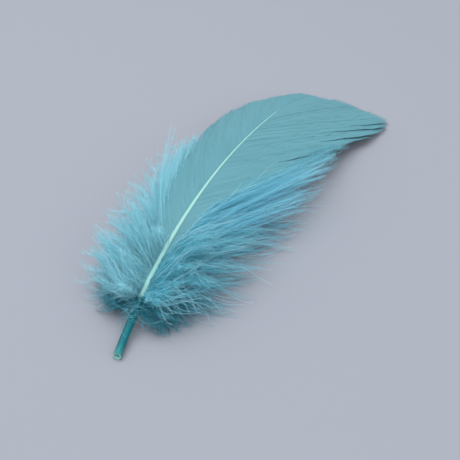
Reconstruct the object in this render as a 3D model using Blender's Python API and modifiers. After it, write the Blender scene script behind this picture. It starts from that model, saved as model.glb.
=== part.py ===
# A dyed goose quill feather, lying on its underside: hollow cut calamus, arched rachis, broad vane
# with barb ridges and partings, and locks of down at the base, all grown together as one solid.
# The shaft runs along +Y from its cut end, the broad vane is at +X, and Z = 0 is the surface below.

import math

import bmesh
import bpy
import numpy as np

# Shaft
SHAFT_LENGTH = 0.182
PITCH_AT_CUT = 14.0  # degrees that the shaft climbs at its cut end
PITCH_AT_TIP = -13.0  # degrees that it falls at its tip
SIDE_BEND = 16.5  # degrees that it turns towards +X over its length
CALAMUS_LENGTH = 0.026
CALAMUS_RADIUS = 0.0016
RACHIS_RADIUS = 0.00125  # where the first barbs grow
TIP_RADIUS = 0.0001
RACHIS_TAPER = 1.6
RACHIS_BLEND = 0.6  # shares of the calamus: where it begins to turn into the rachis, and over what length
SHAFT_STATIONS = 41
SHAFT_ROUNDNESS = 2  # bevel resolution of the shaft, of a lock of down and of the hollow
LOCK_ROUNDNESS = 1
BORE_ROUNDNESS = 4
BORE_RADIUS = 0.0011
BORE_DEPTH = 0.014
BORE_START = 0.004  # how far in front of the cut end the hollow's cutter starts
CUT_SLANT = 18.0  # degrees that the cut end leans from square
CUT_SPARE = 0.0025  # length of tube in front of the cut, which the cutter takes off
CUT_LIFT = 0.00011  # keeps the slanted end's lower lip on the surface below
CUTTER_SIZE = 6.0  # of the cutting block, in calamus radii
MIDDLE_X = 0.00247  # the middle of the whole feather's box, from the cut end and half the length on
MIDDLE_Y = 0.00208

# Vane
FIRST_BARB = 0.046  # along the shaft
LAST_BARB = 0.1818
BARB_ROWS = 46
VANE_THICKNESS = 0.0008
RIDGE = 0.00022  # every second row of barbs stands this far over its neighbours
RIDGE_FULL = 3.0  # the ridge has its full height from one third of the barb outwards
LEAST_HEIGHT = 0.0005  # of the vane's middle surface over the surface below
LEVEL_OUT = 0.002  # how softly the vane levels out over the surface below
FAN_FROM = 0.135  # barbs rooted beyond this turn more and more towards the tip

# One entry a side: columns along a barb, angles from the shaft at root, rim and tip, the width over
# which a barb turns from the first to the second, rise and droop of the cross section, the outline of
# the smooth vane as (along the shaft, width), its end as (width, along the shaft), and the partings as
# (root of the barb, share of the barb where it opens, opening at the rim).
RIGHT = {
    "side": 1,
    "columns": 7,
    "root_angle": 50.0,
    "rim_angle": 33.0,
    "tip_angle": 4.0,
    "turn_width": 0.042,
    "rise": 0.09,
    "droop": 3.0,
    "outline": [(0.040, 0.0022), (0.060, 0.004), (0.085, 0.0065), (0.097, 0.0105), (0.104, 0.0145),
                (0.110, 0.0190), (0.117, 0.0230), (0.126, 0.0300), (0.143, 0.0360), (0.160, 0.0405),
                (0.172, 0.0445), (0.182, 0.0460), (0.189, 0.0450), (0.193, 0.0430), (0.197, 0.0380)],
    "end": [(0.0, 0.1870), (0.0042, 0.1884), (0.0115, 0.1904), (0.0190, 0.1932), (0.0270, 0.1950),
            (0.0345, 0.1952), (0.0460, 0.1940)],
    "partings": [(0.097, 0.35, 0.0016), (0.1135, 0.55, 0.0026), (0.130, 0.5, 0.0014)],
}
LEFT = {
    "side": -1,
    "columns": 5,
    "root_angle": 34.0,
    "rim_angle": 17.0,
    "tip_angle": 3.0,
    "turn_width": 0.020,
    "rise": 0.03,
    "droop": 9.0,
    "outline": [(0.040, 0.0022), (0.060, 0.005), (0.085, 0.0095), (0.105, 0.0150), (0.120, 0.0190),
                (0.135, 0.0215), (0.150, 0.0208), (0.162, 0.0165), (0.172, 0.0110), (0.180, 0.0055),
                (0.1870, 0.0012)],
    "end": [(0.0, 0.1870), (0.0055, 0.1850)],
    "partings": [(0.088, 0.5, 0.0014), (0.108, 0.6, 0.0016)],
}

# Down: one entry a group of locks, as count, side, first and last root along the shaft, angles from
# the shaft there, lengths there, climb in degrees at root and how far it strays, and thickest radius.
DOWN = [
    (17, 1, 0.028, 0.098, 90.0, 50.0, 0.034, 0.044, 4.0, 22.0, 0.0029),
    (8, 1, 0.026, 0.050, 112.0, 74.0, 0.026, 0.037, 36.0, 34.0, 0.0025),
    (15, -1, 0.028, 0.096, 84.0, 30.0, 0.032, 0.039, 4.0, 20.0, 0.0026),
    (7, -1, 0.026, 0.050, 104.0, 58.0, 0.024, 0.032, 36.0, 34.0, 0.0023),
    (5, 1, 0.024, 0.034, 146.0, 112.0, 0.018, 0.026, -6.0, 16.0, 0.0018),
    (5, -1, 0.024, 0.034, 140.0, 106.0, 0.016, 0.022, -6.0, 16.0, 0.0018),
]
LOCK_POINTS = 6
LOCK_SAG = 7.0  # how fast a lock sinks, per metre that it reaches out level
LOCK_SWEEP = 0.24  # how far a lock's end turns forwards, as a share of its length
LOCK_UNDER = 0.0016  # how far below the vane a lock starts where the vane has begun
LOCK_UNDER_FADE = 0.010  # over this length of shaft, from the first barb on, a lock goes under
LOCK_UNDER_REST = 0.35  # share of that depth which a lock keeps, less and less, out to its end
LOCK_CLEAR = 0.011  # reach at which it comes level again
LOCK_GAP = 0.0001  # least height of a lock's underside
LOCK_NECK = 0.32  # a lock's thickness at its root, as a share of the thickest
LOCK_NECK_LENGTH = 0.12  # share of a lock's length by which its belly lies nearer the root
LOCK_BELLY = 0.8  # lower is fuller
LOCK_TIP_FROM = 0.55  # share of a lock's length where its end begins to thin
LOCK_TIP_LOSS = 0.72  # share of the thickness that its very end has lost
ANGLE_STRAY = 10.0  # degrees that locks stray from their group's angle
LENGTH_STRAY = 0.2
LONGEST_AT = 1.6  # locks are longest at half of this, as a share of their group's stretch of shaft

GOLDEN = 0.6180339887
FINE_STEP = 0.0005
MOST_STEPS = 400
WELD = 1e-6


def remove_all():
    for thing in list(bpy.data.objects):
        bpy.data.objects.remove(thing, do_unlink=True)


def new_collection(name, helper=False):
    group = bpy.data.collections.new(name)
    group.hide_render = helper
    bpy.context.scene.collection.children.link(group)
    return group


def new_material(name, color, roughness):
    material = bpy.data.materials.new(name)
    material.use_nodes = True
    shader = material.node_tree.nodes["Principled BSDF"]
    shader.inputs["Base Color"].default_value = (*color, 1.0)
    shader.inputs["Roughness"].default_value = roughness
    shader.inputs["Metallic"].default_value = 0.0
    material.diffuse_color = (*color, 1.0)
    return material


def part_of(value):
    """The fractional part, which spreads neighbouring counts evenly from 0 to 1."""
    return value - math.floor(value)


def smooth_interp(x, pairs):
    """A value between (x, y) pairs, with a soft step from each to the next."""
    if x <= pairs[0][0]:
        return pairs[0][1]
    for (x0, y0), (x1, y1) in zip(pairs, pairs[1:]):
        if x <= x1:
            share = (x - x0) / (x1 - x0)
            eased = share * share * (3 - 2 * share)
            return y0 + (y1 - y0) * (share + eased) / 2
    return pairs[-1][1]


class Shaft:
    """The shaft's curved axis, with the way forwards, to the right and up at each place on it."""

    def __init__(self):
        count = int(SHAFT_LENGTH * 1.05 / FINE_STEP) + 1
        self.along = np.arange(count) * FINE_STEP
        share = self.along / SHAFT_LENGTH
        self.heading = np.radians(SIDE_BEND) * (share - 0.5)
        self.pitch = np.radians(PITCH_AT_CUT + (PITCH_AT_TIP - PITCH_AT_CUT) * share)
        forward = np.stack([np.sin(self.heading) * np.cos(self.pitch),
                            np.cos(self.heading) * np.cos(self.pitch),
                            np.sin(self.pitch)], axis=1)
        steps = (forward[1:] + forward[:-1]) / 2 * FINE_STEP
        self.points = np.concatenate([[[0.0, 0.0, 0.0]], np.cumsum(steps, axis=0)])
        self.points[:, 0] -= MIDDLE_X
        self.points[:, 1] -= SHAFT_LENGTH / 2 + MIDDLE_Y
        self.points[:, 2] += CALAMUS_RADIUS * math.cos(math.radians(PITCH_AT_CUT)) + CUT_LIFT

    def at(self, s):
        def read(values):
            return float(np.interp(s, self.along, values))

        heading, pitch = read(self.heading), read(self.pitch)
        point = np.array([read(self.points[:, axis]) for axis in range(3)])
        forward = np.array([math.sin(heading) * math.cos(pitch),
                            math.cos(heading) * math.cos(pitch), math.sin(pitch)])
        right = np.array([math.cos(heading), -math.sin(heading), 0.0])
        return point, forward, right, np.cross(right, forward)


def shaft_radius(s):
    rachis_length = SHAFT_LENGTH - CALAMUS_LENGTH
    left = min(max((SHAFT_LENGTH - s) / rachis_length, 0.0), 1.0)
    rachis = TIP_RADIUS + (RACHIS_RADIUS - TIP_RADIUS) * left ** RACHIS_TAPER
    stretch = RACHIS_BLEND * CALAMUS_LENGTH
    blend = min(max((s - stretch) / stretch, 0.0), 1.0)
    eased = blend * blend * (3 - 2 * blend)
    return CALAMUS_RADIUS * (1 - eased) + rachis * eased


def mesh_from_curve(curve_object, collection, material):
    """A tapered tube as a closed mesh, with its end caps welded on."""
    graph = bpy.context.evaluated_depsgraph_get()
    mesh = bpy.data.meshes.new_from_object(curve_object.evaluated_get(graph))
    name, matrix = curve_object.name, curve_object.matrix_world.copy()
    bpy.data.objects.remove(curve_object, do_unlink=True)
    shape = bmesh.new()
    shape.from_mesh(mesh)
    bmesh.ops.remove_doubles(shape, verts=shape.verts, dist=WELD)
    bmesh.ops.recalc_face_normals(shape, faces=shape.faces)
    shape.to_mesh(mesh)
    shape.free()
    mesh.materials.clear()
    mesh.materials.append(material)
    mesh.shade_smooth()
    made = bpy.data.objects.new(name, mesh)
    made.matrix_world = matrix
    collection.objects.link(made)
    return made


def tube(name, points, radii, resolution, collection, material):
    curve = bpy.data.curves.new(name, "CURVE")
    curve.dimensions = "3D"
    curve.bevel_depth = 1.0
    curve.bevel_resolution = resolution
    curve.use_fill_caps = True
    spline = curve.splines.new("POLY")
    spline.points.add(len(points) - 1)
    for place, point, radius in zip(spline.points, points, radii):
        place.co = (*point, 1.0)
        place.radius = radius
    made = bpy.data.objects.new(name, curve)
    collection.objects.link(made)
    bpy.context.view_layer.update()
    return mesh_from_curve(made, collection, material)


def barb_path(root, vane):
    """Places along one barb, as (along the shaft, width), from its root to the vane's outline."""
    near_tip = min(max((root - FAN_FROM) / (LAST_BARB - FAN_FROM), 0.0), 1.0)
    first = vane["root_angle"] + (vane["tip_angle"] - vane["root_angle"]) * near_tip
    last = vane["rim_angle"] + (vane["tip_angle"] - vane["rim_angle"]) * near_tip
    path = [(root, 0.0)]
    s, width = root, 0.0
    while len(path) < MOST_STEPS:
        turned = min(width / vane["turn_width"], 1.0)
        angle = math.radians(first + (last - first) * turned)
        s += FINE_STEP * math.cos(angle)
        width += FINE_STEP * math.sin(angle)
        path.append((s, width))
        if width >= smooth_interp(s, vane["outline"]) or s >= smooth_interp(width, vane["end"]):
            break
    return path


def vane_point(shaft, s, width, vane):
    point, _, right, up = shaft.at(s)
    rise = vane["rise"] * width - vane["droop"] * width * width
    place = point + right * width * vane["side"] + up * rise
    over = place[2] - LEAST_HEIGHT
    place[2] = LEAST_HEIGHT + (over + math.sqrt(over * over + LEVEL_OUT * LEVEL_OUT)) / 2
    return place


def barb_columns(shaft, root, vane, row):
    """A barb's points from root to rim, with every second barb lifted a little."""
    path = barb_path(root, vane)
    points = []
    for column in range(1, vane["columns"] + 1):
        share = column / vane["columns"]
        at = share * (len(path) - 1)
        low = min(int(at), len(path) - 2)
        s = path[low][0] + (path[low + 1][0] - path[low][0]) * (at - low)
        width = path[low][1] + (path[low + 1][1] - path[low][1]) * (at - low)
        place = vane_point(shaft, s, width, vane)
        place[2] += RIDGE * (row % 2) * min(RIDGE_FULL * share, 1.0)
        points.append(place)
    return points


def parting_rows(vane, roots):
    """For each parted row: the column where the parting begins, and its opening at the rim."""
    rows = {}
    for root, start, opening in vane["partings"]:
        row = int(np.argmin(np.abs(np.array(roots) - root)))
        rows[row] = (int(start * vane["columns"]), opening)
    return rows


def vane_sheet(shaft, collection, material):
    """Both vanes as one thin sheet across the shaft, whose rows follow the barbs."""
    roots = np.linspace(FIRST_BARB, LAST_BARB, BARB_ROWS).tolist()
    sheet = bmesh.new()
    middle = [sheet.verts.new(shaft.at(root)[0]) for root in roots]
    for vane in (RIGHT, LEFT):
        parted = parting_rows(vane, roots)
        behind = None
        for row, root in enumerate(roots):
            points = barb_columns(shaft, root, vane, row)
            near = [middle[row]] + [sheet.verts.new(point) for point in points]
            ahead = near
            if row in parted:
                start, opening = parted[row]
                forward = shaft.at(root)[1]
                ahead = near[: start + 1]
                for column in range(start + 1, len(near)):
                    share = (column - start) / (len(near) - 1 - start)
                    shift = forward * opening * share / 2
                    ahead.append(sheet.verts.new(points[column - 1] + shift))
                    near[column].co = points[column - 1] - shift
            if behind:
                for column in range(vane["columns"]):
                    corners = [behind[column], behind[column + 1], near[column + 1], near[column]]
                    sheet.faces.new(corners if vane["side"] > 0 else corners[::-1])
            behind = ahead
    bmesh.ops.recalc_face_normals(sheet, faces=sheet.faces)
    mesh = bpy.data.meshes.new("vane")
    sheet.to_mesh(mesh)
    sheet.free()
    mesh.materials.append(material)
    made = bpy.data.objects.new("vane", mesh)
    collection.objects.link(made)
    wall = made.modifiers.new("Barb depth", "SOLIDIFY")
    wall.thickness = VANE_THICKNESS
    wall.offset = 0.0
    return made


def lock_points(shaft, root, side, angle, length, climb, radius):
    """The axis and radii of one lock of down, which arches out from the shaft and sinks."""
    point, forward, right, up = shaft.at(root)
    under = LOCK_UNDER * min(max((root - FIRST_BARB) / LOCK_UNDER_FADE, 0.0), 1.0)
    turn, lift = math.radians(angle), math.radians(climb)
    away = forward * math.cos(turn) + right * side * math.sin(turn)
    points, radii = [], []
    for step in range(LOCK_POINTS):
        share = step / (LOCK_POINTS - 1)
        reach = length * share
        place = point + away * math.cos(lift) * reach + up * math.sin(lift) * reach
        place = place + forward * LOCK_SWEEP * length * share * share
        place = place - up * under * max(1 - reach / LOCK_CLEAR, LOCK_UNDER_REST * (1 - share))
        place[2] -= LOCK_SAG * (math.cos(lift) * reach) ** 2
        belly = math.sin(math.pi * min(share + LOCK_NECK_LENGTH, 1.0)) ** LOCK_BELLY
        thick = radius * (LOCK_NECK + (1 - LOCK_NECK) * belly)
        thick *= 1.0 - LOCK_TIP_LOSS * max(share - LOCK_TIP_FROM, 0.0) / (1 - LOCK_TIP_FROM)
        place[2] = max(place[2], thick + LOCK_GAP)
        points.append(place)
        radii.append(thick)
    return points, radii


def down_locks(shaft, collection, material):
    number = 0
    for count, side, s0, s1, angle0, angle1, length0, length1, climb, stray, radius in DOWN:
        for step in range(count):
            share = step / (count - 1)
            jitter = part_of(number * GOLDEN) - 0.5
            other = part_of(number * GOLDEN * GOLDEN * 3) - 0.5
            root = s0 + (s1 - s0) * share
            angle = angle0 + (angle1 - angle0) * share + ANGLE_STRAY * jitter
            fullness = math.sin(math.pi * share / LONGEST_AT) * (1 + LENGTH_STRAY * jitter)
            length = length0 + (length1 - length0) * fullness
            lift = climb + stray * other
            points, radii = lock_points(shaft, root, side, angle, length, lift, radius)
            tube(f"lock_{number:02d}", points, radii, LOCK_ROUNDNESS, collection, material)
            number += 1


def end_cutter(shaft, collection, material):
    """A block that takes the tube's first end off on a slant."""
    point, forward, _, _ = shaft.at(0.0)
    size = CUTTER_SIZE * CALAMUS_RADIUS
    bpy.ops.mesh.primitive_cube_add(size=size)
    block = bpy.context.object
    block.name = "end_cutter"
    turn = math.atan2(-forward[0], forward[1])
    block.rotation_euler = (math.radians(PITCH_AT_CUT - CUT_SLANT), 0.0, turn)
    block.location = point - np.array([0.0, size / 2, 0.0])
    move_to(block, collection, material)
    return block


def bore_cutter(shaft, collection, material):
    """The calamus's hollow, straight along the chord of its stretch of the shaft."""
    start, end = shaft.at(0.0)[0], shaft.at(BORE_DEPTH)[0]
    way = (end - start) / np.linalg.norm(end - start)
    points = [start - way * BORE_START, end]
    return tube("bore_cutter", points, [BORE_RADIUS, BORE_RADIUS], BORE_ROUNDNESS, collection, material)


def move_to(thing, collection, material):
    for group in list(thing.users_collection):
        group.objects.unlink(thing)
    collection.objects.link(thing)
    thing.data.materials.append(material)


def grow_together(feather, grown):
    """Joins the vane and the locks to the shaft, and fills the small pockets sealed between them."""
    joined = feather.modifiers.new("Grown together", "BOOLEAN")
    joined.operand_type = "COLLECTION"
    joined.collection = grown
    joined.operation = "UNION"
    joined.solver = "EXACT"
    joined.material_mode = "TRANSFER"
    graph = bpy.context.evaluated_depsgraph_get()
    whole = bpy.data.meshes.new_from_object(feather.evaluated_get(graph))
    shape = bmesh.new()
    shape.from_mesh(whole)
    unseen = set(shape.verts)
    skins = []
    while unseen:
        edge = [unseen.pop()]
        skin = list(edge)
        while edge:
            vert = edge.pop()
            for link in vert.link_edges:
                other = link.other_vert(vert)
                if other in unseen:
                    unseen.remove(other)
                    edge.append(other)
                    skin.append(other)
        skins.append(skin)
    outer = max(skins, key=len)
    pockets = [vert for skin in skins if skin is not outer for vert in skin]
    bmesh.ops.delete(shape, geom=pockets, context="VERTS")
    shape.to_mesh(whole)
    shape.free()
    print("pockets filled:", len(skins) - 1)
    feather.modifiers.clear()
    feather.data = whole


def main():
    remove_all()
    parts = new_collection("Goose quill feather")
    grown = new_collection("Grown together", helper=True)
    cutters = new_collection("Cutters", helper=True)
    quill = new_material("quill", (0.32, 0.66, 0.58), 0.35)
    web = new_material("vane", (0.17, 0.44, 0.50), 0.6)
    fluff = new_material("down", (0.12, 0.36, 0.46), 0.85)

    shaft = Shaft()
    stations = [-CUT_SPARE] + np.linspace(0.0, SHAFT_LENGTH, SHAFT_STATIONS).tolist()
    start, forward = shaft.at(0.0)[0], shaft.at(0.0)[1]
    points = [start + forward * s if s < 0 else shaft.at(s)[0] for s in stations]
    radii = [shaft_radius(max(s, 0.0)) for s in stations]
    feather = tube("feather", points, radii, SHAFT_ROUNDNESS, parts, quill)
    feather.data.materials.append(web)
    feather.data.materials.append(fluff)

    vane_sheet(shaft, grown, web)
    down_locks(shaft, grown, fluff)
    grow_together(feather, grown)
    for name, cutter in (("Cut end", end_cutter(shaft, cutters, quill)),
                         ("Hollow", bore_cutter(shaft, cutters, quill))):
        cut = feather.modifiers.new(name, "BOOLEAN")
        cut.object = cutter
        cut.operation = "DIFFERENCE"
        cut.solver = "EXACT"
    for group in (grown, cutters):
        for helper in group.objects:
            helper.hide_render = True
            helper.display_type = "WIRE"


main()
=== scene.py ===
import math

import bpy
import numpy as np
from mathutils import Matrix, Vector


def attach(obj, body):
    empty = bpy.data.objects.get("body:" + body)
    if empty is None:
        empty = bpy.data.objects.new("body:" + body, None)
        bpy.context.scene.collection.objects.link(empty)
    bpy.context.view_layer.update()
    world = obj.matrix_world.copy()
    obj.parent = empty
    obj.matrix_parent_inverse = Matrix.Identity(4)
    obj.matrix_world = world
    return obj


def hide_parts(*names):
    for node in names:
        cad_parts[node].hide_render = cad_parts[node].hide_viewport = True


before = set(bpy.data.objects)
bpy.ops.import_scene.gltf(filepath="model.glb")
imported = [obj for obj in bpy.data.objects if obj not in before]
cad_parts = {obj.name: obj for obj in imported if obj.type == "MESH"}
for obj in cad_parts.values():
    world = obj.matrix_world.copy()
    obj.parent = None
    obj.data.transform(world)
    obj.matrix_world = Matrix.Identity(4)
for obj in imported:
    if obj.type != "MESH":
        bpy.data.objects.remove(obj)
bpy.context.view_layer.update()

mm = 0.001
fullTurn = 6.28  # radians, for strands' waves that start anywhere

# The shaft's axis is the frame's own: it starts at the cut end and arches over to the tip.
shaftShape = {
    "length": 182 * mm,
    "pitchAtCut": 14.0,       # degrees up
    "pitchAtTip": -13.0,
    "sideBend": 16.5,         # degrees towards the broad vane over the whole length
    "calamusLength": 26 * mm,
    "calamusRadius": 1.6 * mm,
    "rachisRadius": 1.25 * mm,
    "tipRadius": 0.17 * mm,
    "rachisTaper": 1.9,
    "rachisFrom": 0.6,        # share of the calamus where it starts to turn into the rachis
    "boreRadius": 1.12 * mm,
    "boreDepth": 14 * mm,
    "cutSlant": 18.0,         # degrees off square
    "middle": (2.47 * mm, 2.08 * mm),
    "cutLift": 0.11 * mm,
    "dyeLine": 27 * mm,       # where the teal of the quill gives way to pale mint
}

# The axis is kept as a table in fine steps, which runs on past the tip for the barbs that reach beyond it.
fineStep = 0.25 * mm
pastTip = 1.06
axisAlong = np.arange(int(shaftShape["length"] * pastTip / fineStep) + 1) * fineStep


def unit(rows):
    return rows / np.linalg.norm(rows, axis=-1, keepdims=True)


def smoothStep(low, high, value):
    share = np.clip((np.asarray(value, float) - low) / (high - low), 0.0, 1.0)
    return share * share * (3 - 2 * share)


def addObject(name, data):
    made = bpy.data.objects.new(name, data)
    bpy.context.scene.collection.objects.link(made)
    return made


def makeAxis():
    share = axisAlong / shaftShape["length"]
    heading = np.radians(shaftShape["sideBend"]) * (share - 0.5)
    climb = shaftShape["pitchAtTip"] - shaftShape["pitchAtCut"]
    pitch = np.radians(shaftShape["pitchAtCut"] + climb * share)
    forward = np.stack([np.sin(heading) * np.cos(pitch), np.cos(heading) * np.cos(pitch), np.sin(pitch)], 1)
    steps = (forward[1:] + forward[:-1]) / 2 * fineStep
    points = np.concatenate([np.zeros((1, 3)), np.cumsum(steps, axis=0)])
    points[:, 0] -= shaftShape["middle"][0]
    points[:, 1] -= shaftShape["length"] / 2 + shaftShape["middle"][1]
    points[:, 2] += shaftShape["calamusRadius"] * math.cos(math.radians(shaftShape["pitchAtCut"]))
    points[:, 2] += shaftShape["cutLift"]
    right = np.stack([np.cos(heading), -np.sin(heading), np.zeros_like(heading)], 1)
    return points, forward, right, np.cross(right, forward)


axisPoints, axisForward, axisRight, axisUp = makeAxis()


def between(pair, share):
    return pair[0] + (pair[1] - pair[0]) * share


def along(table, s):
    # The axis table read at any distances from the cut end.
    s = np.asarray(s, float)
    return np.stack([np.interp(s, axisAlong, table[:, k]) for k in range(3)], -1)


def shaftRadius(s):
    s = np.asarray(s, float)
    rachisLength = shaftShape["length"] - shaftShape["calamusLength"]
    left = np.clip((shaftShape["length"] - s) / rachisLength, 0.0, 1.0)
    rachis = shaftShape["tipRadius"]
    rachis = rachis + (shaftShape["rachisRadius"] - rachis) * left ** shaftShape["rachisTaper"]
    start = shaftShape["rachisFrom"] * shaftShape["calamusLength"]
    blend = smoothStep(start, 2 * start, s)
    return shaftShape["calamusRadius"] * (1 - blend) + rachis * blend


# The two vanes. "satin" is the edge of the closed web, "whole" how far the loose ends reach, each as
# (along the shaft, width) in mm, and "end" is the vane's end as (width, along the shaft).
# A parting has its root in mm, where it opens as a share of the barb, how wide in mm, and how far in mm its
# two lips part in height. Where it opens by less than nothing, one lip lies over the other.
vaneRight = {
    "name": "vaneRight", "side": 1, "barbs": 330, "points": 17,
    "rootAngle": 50.0, "rimAngle": 28.0, "tipAngle": 4.0, "turnWidth": 42 * mm,
    "rise": 0.09, "droop": 3.0, "halfWidth": 0.22 * mm,
    "satin": [(40, 2.2), (60, 4.8), (70, 6.4), (78, 8.6), (86, 11.8), (96, 18.5), (104, 22.8), (112, 26.5),
              (126, 32), (143, 36.7), (160, 40.5), (172, 44.5), (182, 46), (189, 45), (193, 43), (197, 38)],
    "whole": [(30, 34), (50, 41), (75, 45), (100, 43), (118, 40), (135, 39.5), (145, 38.5), (160, 40.5),
              (172, 44.5), (182, 46), (189, 45), (193, 43), (197, 38)],
    "end": [(0, 187), (4.2, 188.4), (11.5, 190.4), (19, 193.2), (27, 195), (34.5, 195.2), (46, 194)],
    "partings": [(97, 0.45, 1.2, 1.5), (113.5, 0.55, 0.2, 1.4), (126, 0.50, -1.8, 1.2),
                 (133, 0.66, -1.6, 0.9), (143, 0.60, -1.4, -0.8), (159, 0.74, -1.0, -0.4)],
    "fluffFrom": 0.88, "fluffRise": 6.0, "fringeTurn": (0.38, 0.53), "fringe": "fringe", "seed": 11,
}
vaneLeft = {
    "name": "vaneLeft", "side": -1, "barbs": 330, "points": 15,
    "rootAngle": 34.0, "rimAngle": 17.0, "tipAngle": 3.0, "turnWidth": 20 * mm,
    "rise": 0.03, "droop": 9.0, "halfWidth": 0.17 * mm,
    "satin": [(40, 2.2), (60, 6.5), (74, 11), (86, 15.5), (105, 19.5), (120, 20.8), (135, 21.5), (150, 20.8),
              (162, 16.5), (172, 11), (180, 5.5), (187, 1.2)],
    "whole": [(30, 28), (50, 32), (75, 31), (95, 27.5), (110, 24), (122, 21.8), (135, 21.5), (150, 20.8),
              (162, 16.5), (172, 11), (180, 5.5), (187, 1.2)],
    "end": [(0, 187), (5.5, 185)],
    "partings": [(88, 0.45, 1.4, 0.6), (108, 0.6, 1.6, 0.7), (99, 0.55, 0.9, 0.5), (124, 0.75, 0.7, 0.4),
                 (76, 0.5, 1.0, 0.6)],
    # The left vane's loose ends take the left down's painted-light tones.
    "fluffFrom": 0.72, "fluffRise": 2.0, "fringeTurn": (0.34, 0.60), "fringe": "left", "seed": 12,
}
vaneZone = {
    "first": 46 * mm, "last": 181.8 * mm,  # the first and the last barb's root
    "fanFrom": 135 * mm,                   # from here on the barbs turn towards the tip
    "barbStep": 0.5 * mm, "mostSteps": 200,
    "leastHeight": 0.45 * mm, "floorEase": 4 * mm * mm,
}


def outlineAt(pairs, s):
    # The outline's width at s, easing from each of its points to the next as the solids do.
    xs = np.array([p[0] for p in pairs]) * mm
    ys = np.array([p[1] for p in pairs]) * mm
    s = np.clip(s, xs[0], xs[-1])
    k = np.clip(np.searchsorted(xs, s, side="left") - 1, 0, len(xs) - 2)
    share = (s - xs[k]) / (xs[k + 1] - xs[k])
    eased = share * share * (3 - 2 * share)
    return ys[k] + (ys[k + 1] - ys[k]) * (share + eased) / 2


def barbWalk(roots, vane, angleShift):
    # Marches every barb out from the shaft. Gives (s, width) for each step, and the steps where each
    # crosses the satin outline and the whole outline, or the vane's end.
    nearTip = np.clip((roots - vaneZone["fanFrom"]) / (vaneZone["last"] - vaneZone["fanFrom"]), 0.0, 1.0)
    first, last = (between((vane[end], vane["tipAngle"]), nearTip) for end in ("rootAngle", "rimAngle"))
    step = vaneZone["barbStep"]
    s, width = roots.copy(), np.zeros_like(roots)
    track = [(s.copy(), width.copy())]
    satinEnd = np.full(len(roots), -1)
    wholeEnd = np.full(len(roots), -1)
    for count in range(1, vaneZone["mostSteps"]):
        turned = np.minimum(width / vane["turnWidth"], 1.0)
        angle = np.radians(first + (last - first) * turned + angleShift)
        s = s + step * np.cos(angle)
        width = width + step * np.sin(angle)
        track.append((s.copy(), width.copy()))
        over = s >= outlineAt(vane["end"], width)
        satinEnd[(satinEnd < 0) & (over | (width >= outlineAt(vane["satin"], s)))] = count
        wholeEnd[(wholeEnd < 0) & (over | (width >= outlineAt(vane["whole"], s)))] = count
        if (wholeEnd > 0).all() and (satinEnd > 0).all():
            break
    return np.array([t[0] for t in track]), np.array([t[1] for t in track]), satinEnd, wholeEnd


def readTrack(table, step):
    # A (steps, barbs) table read at fractional steps given as (barbs, points).
    low = np.clip(np.floor(step).astype(int), 0, len(table) - 2)
    part = step - low
    column = np.arange(table.shape[1])[:, None]
    return table[low, column] * (1 - part) + table[low + 1, column] * part


def vaneSurface(s, width, vane):
    # Points of the vane at distance s along the shaft and width out from it, and the way up there.
    point, right, up = along(axisPoints, s), along(axisRight, s), along(axisUp, s)
    width = np.asarray(width)[..., None]
    rise = vane["rise"] * width - vane["droop"] * width * width
    place = point + right * width * vane["side"] + up * rise
    over = place[..., 2] - vaneZone["leastHeight"]
    place[..., 2] = vaneZone["leastHeight"] + (over + np.sqrt(over * over + vaneZone["floorEase"])) / 2
    slope = vane["rise"] - 2 * vane["droop"] * width
    return place, unit(up - right * vane["side"] * slope)


def lineMesh(name, paths, values):
    # Many open lines of points as one mesh of edges, with named values at their points.
    lines, count = paths.shape[0], paths.shape[1]
    mesh = bpy.data.meshes.new(name)
    mesh.vertices.add(lines * count)
    mesh.vertices.foreach_set("co", paths.reshape(-1).astype(np.float32))
    first = (np.arange(lines)[:, None] * count + np.arange(count - 1)[None]).reshape(-1)
    mesh.edges.add(len(first))
    mesh.edges.foreach_set("vertices", np.stack([first, first + 1], 1).reshape(-1).astype(np.int32))
    for label, value in values.items():
        isVector = value.ndim == 3
        kind, field = ("FLOAT_VECTOR", "vector") if isVector else ("FLOAT", "value")
        layer = mesh.attributes.new(label, kind, "POINT")
        layer.data.foreach_set(field, value.reshape(-1).astype(np.float32))
    mesh.update()
    return addObject(name, mesh)


def pick(sockets, label):
    return next(s for s in sockets if s.enabled and s.name == label)


def feed(tree, node, inputs):
    # Gives a node's inputs their values, or links them where a socket or another node is given.
    for label, value in inputs.items():
        socket = node.inputs[label] if isinstance(label, int) else pick(node.inputs, label)
        if isinstance(value, bpy.types.Node):
            value = next(s for s in value.outputs if s.enabled)
        if isinstance(value, bpy.types.NodeSocket):
            tree.links.new(value, socket)
        else:
            socket.default_value = (*value, 1.0) if socket.type == "RGBA" else value


def addNode(tree, kind, inputs=None, **settings):
    made = tree.nodes.new(kind)
    for field, value in settings.items():
        setattr(made, field, value)
    feed(tree, made, inputs or {})
    return made


def mathNode(tree, operation, *values):
    return addNode(tree, "ShaderNodeMath", dict(enumerate(values)), operation=operation)


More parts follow.
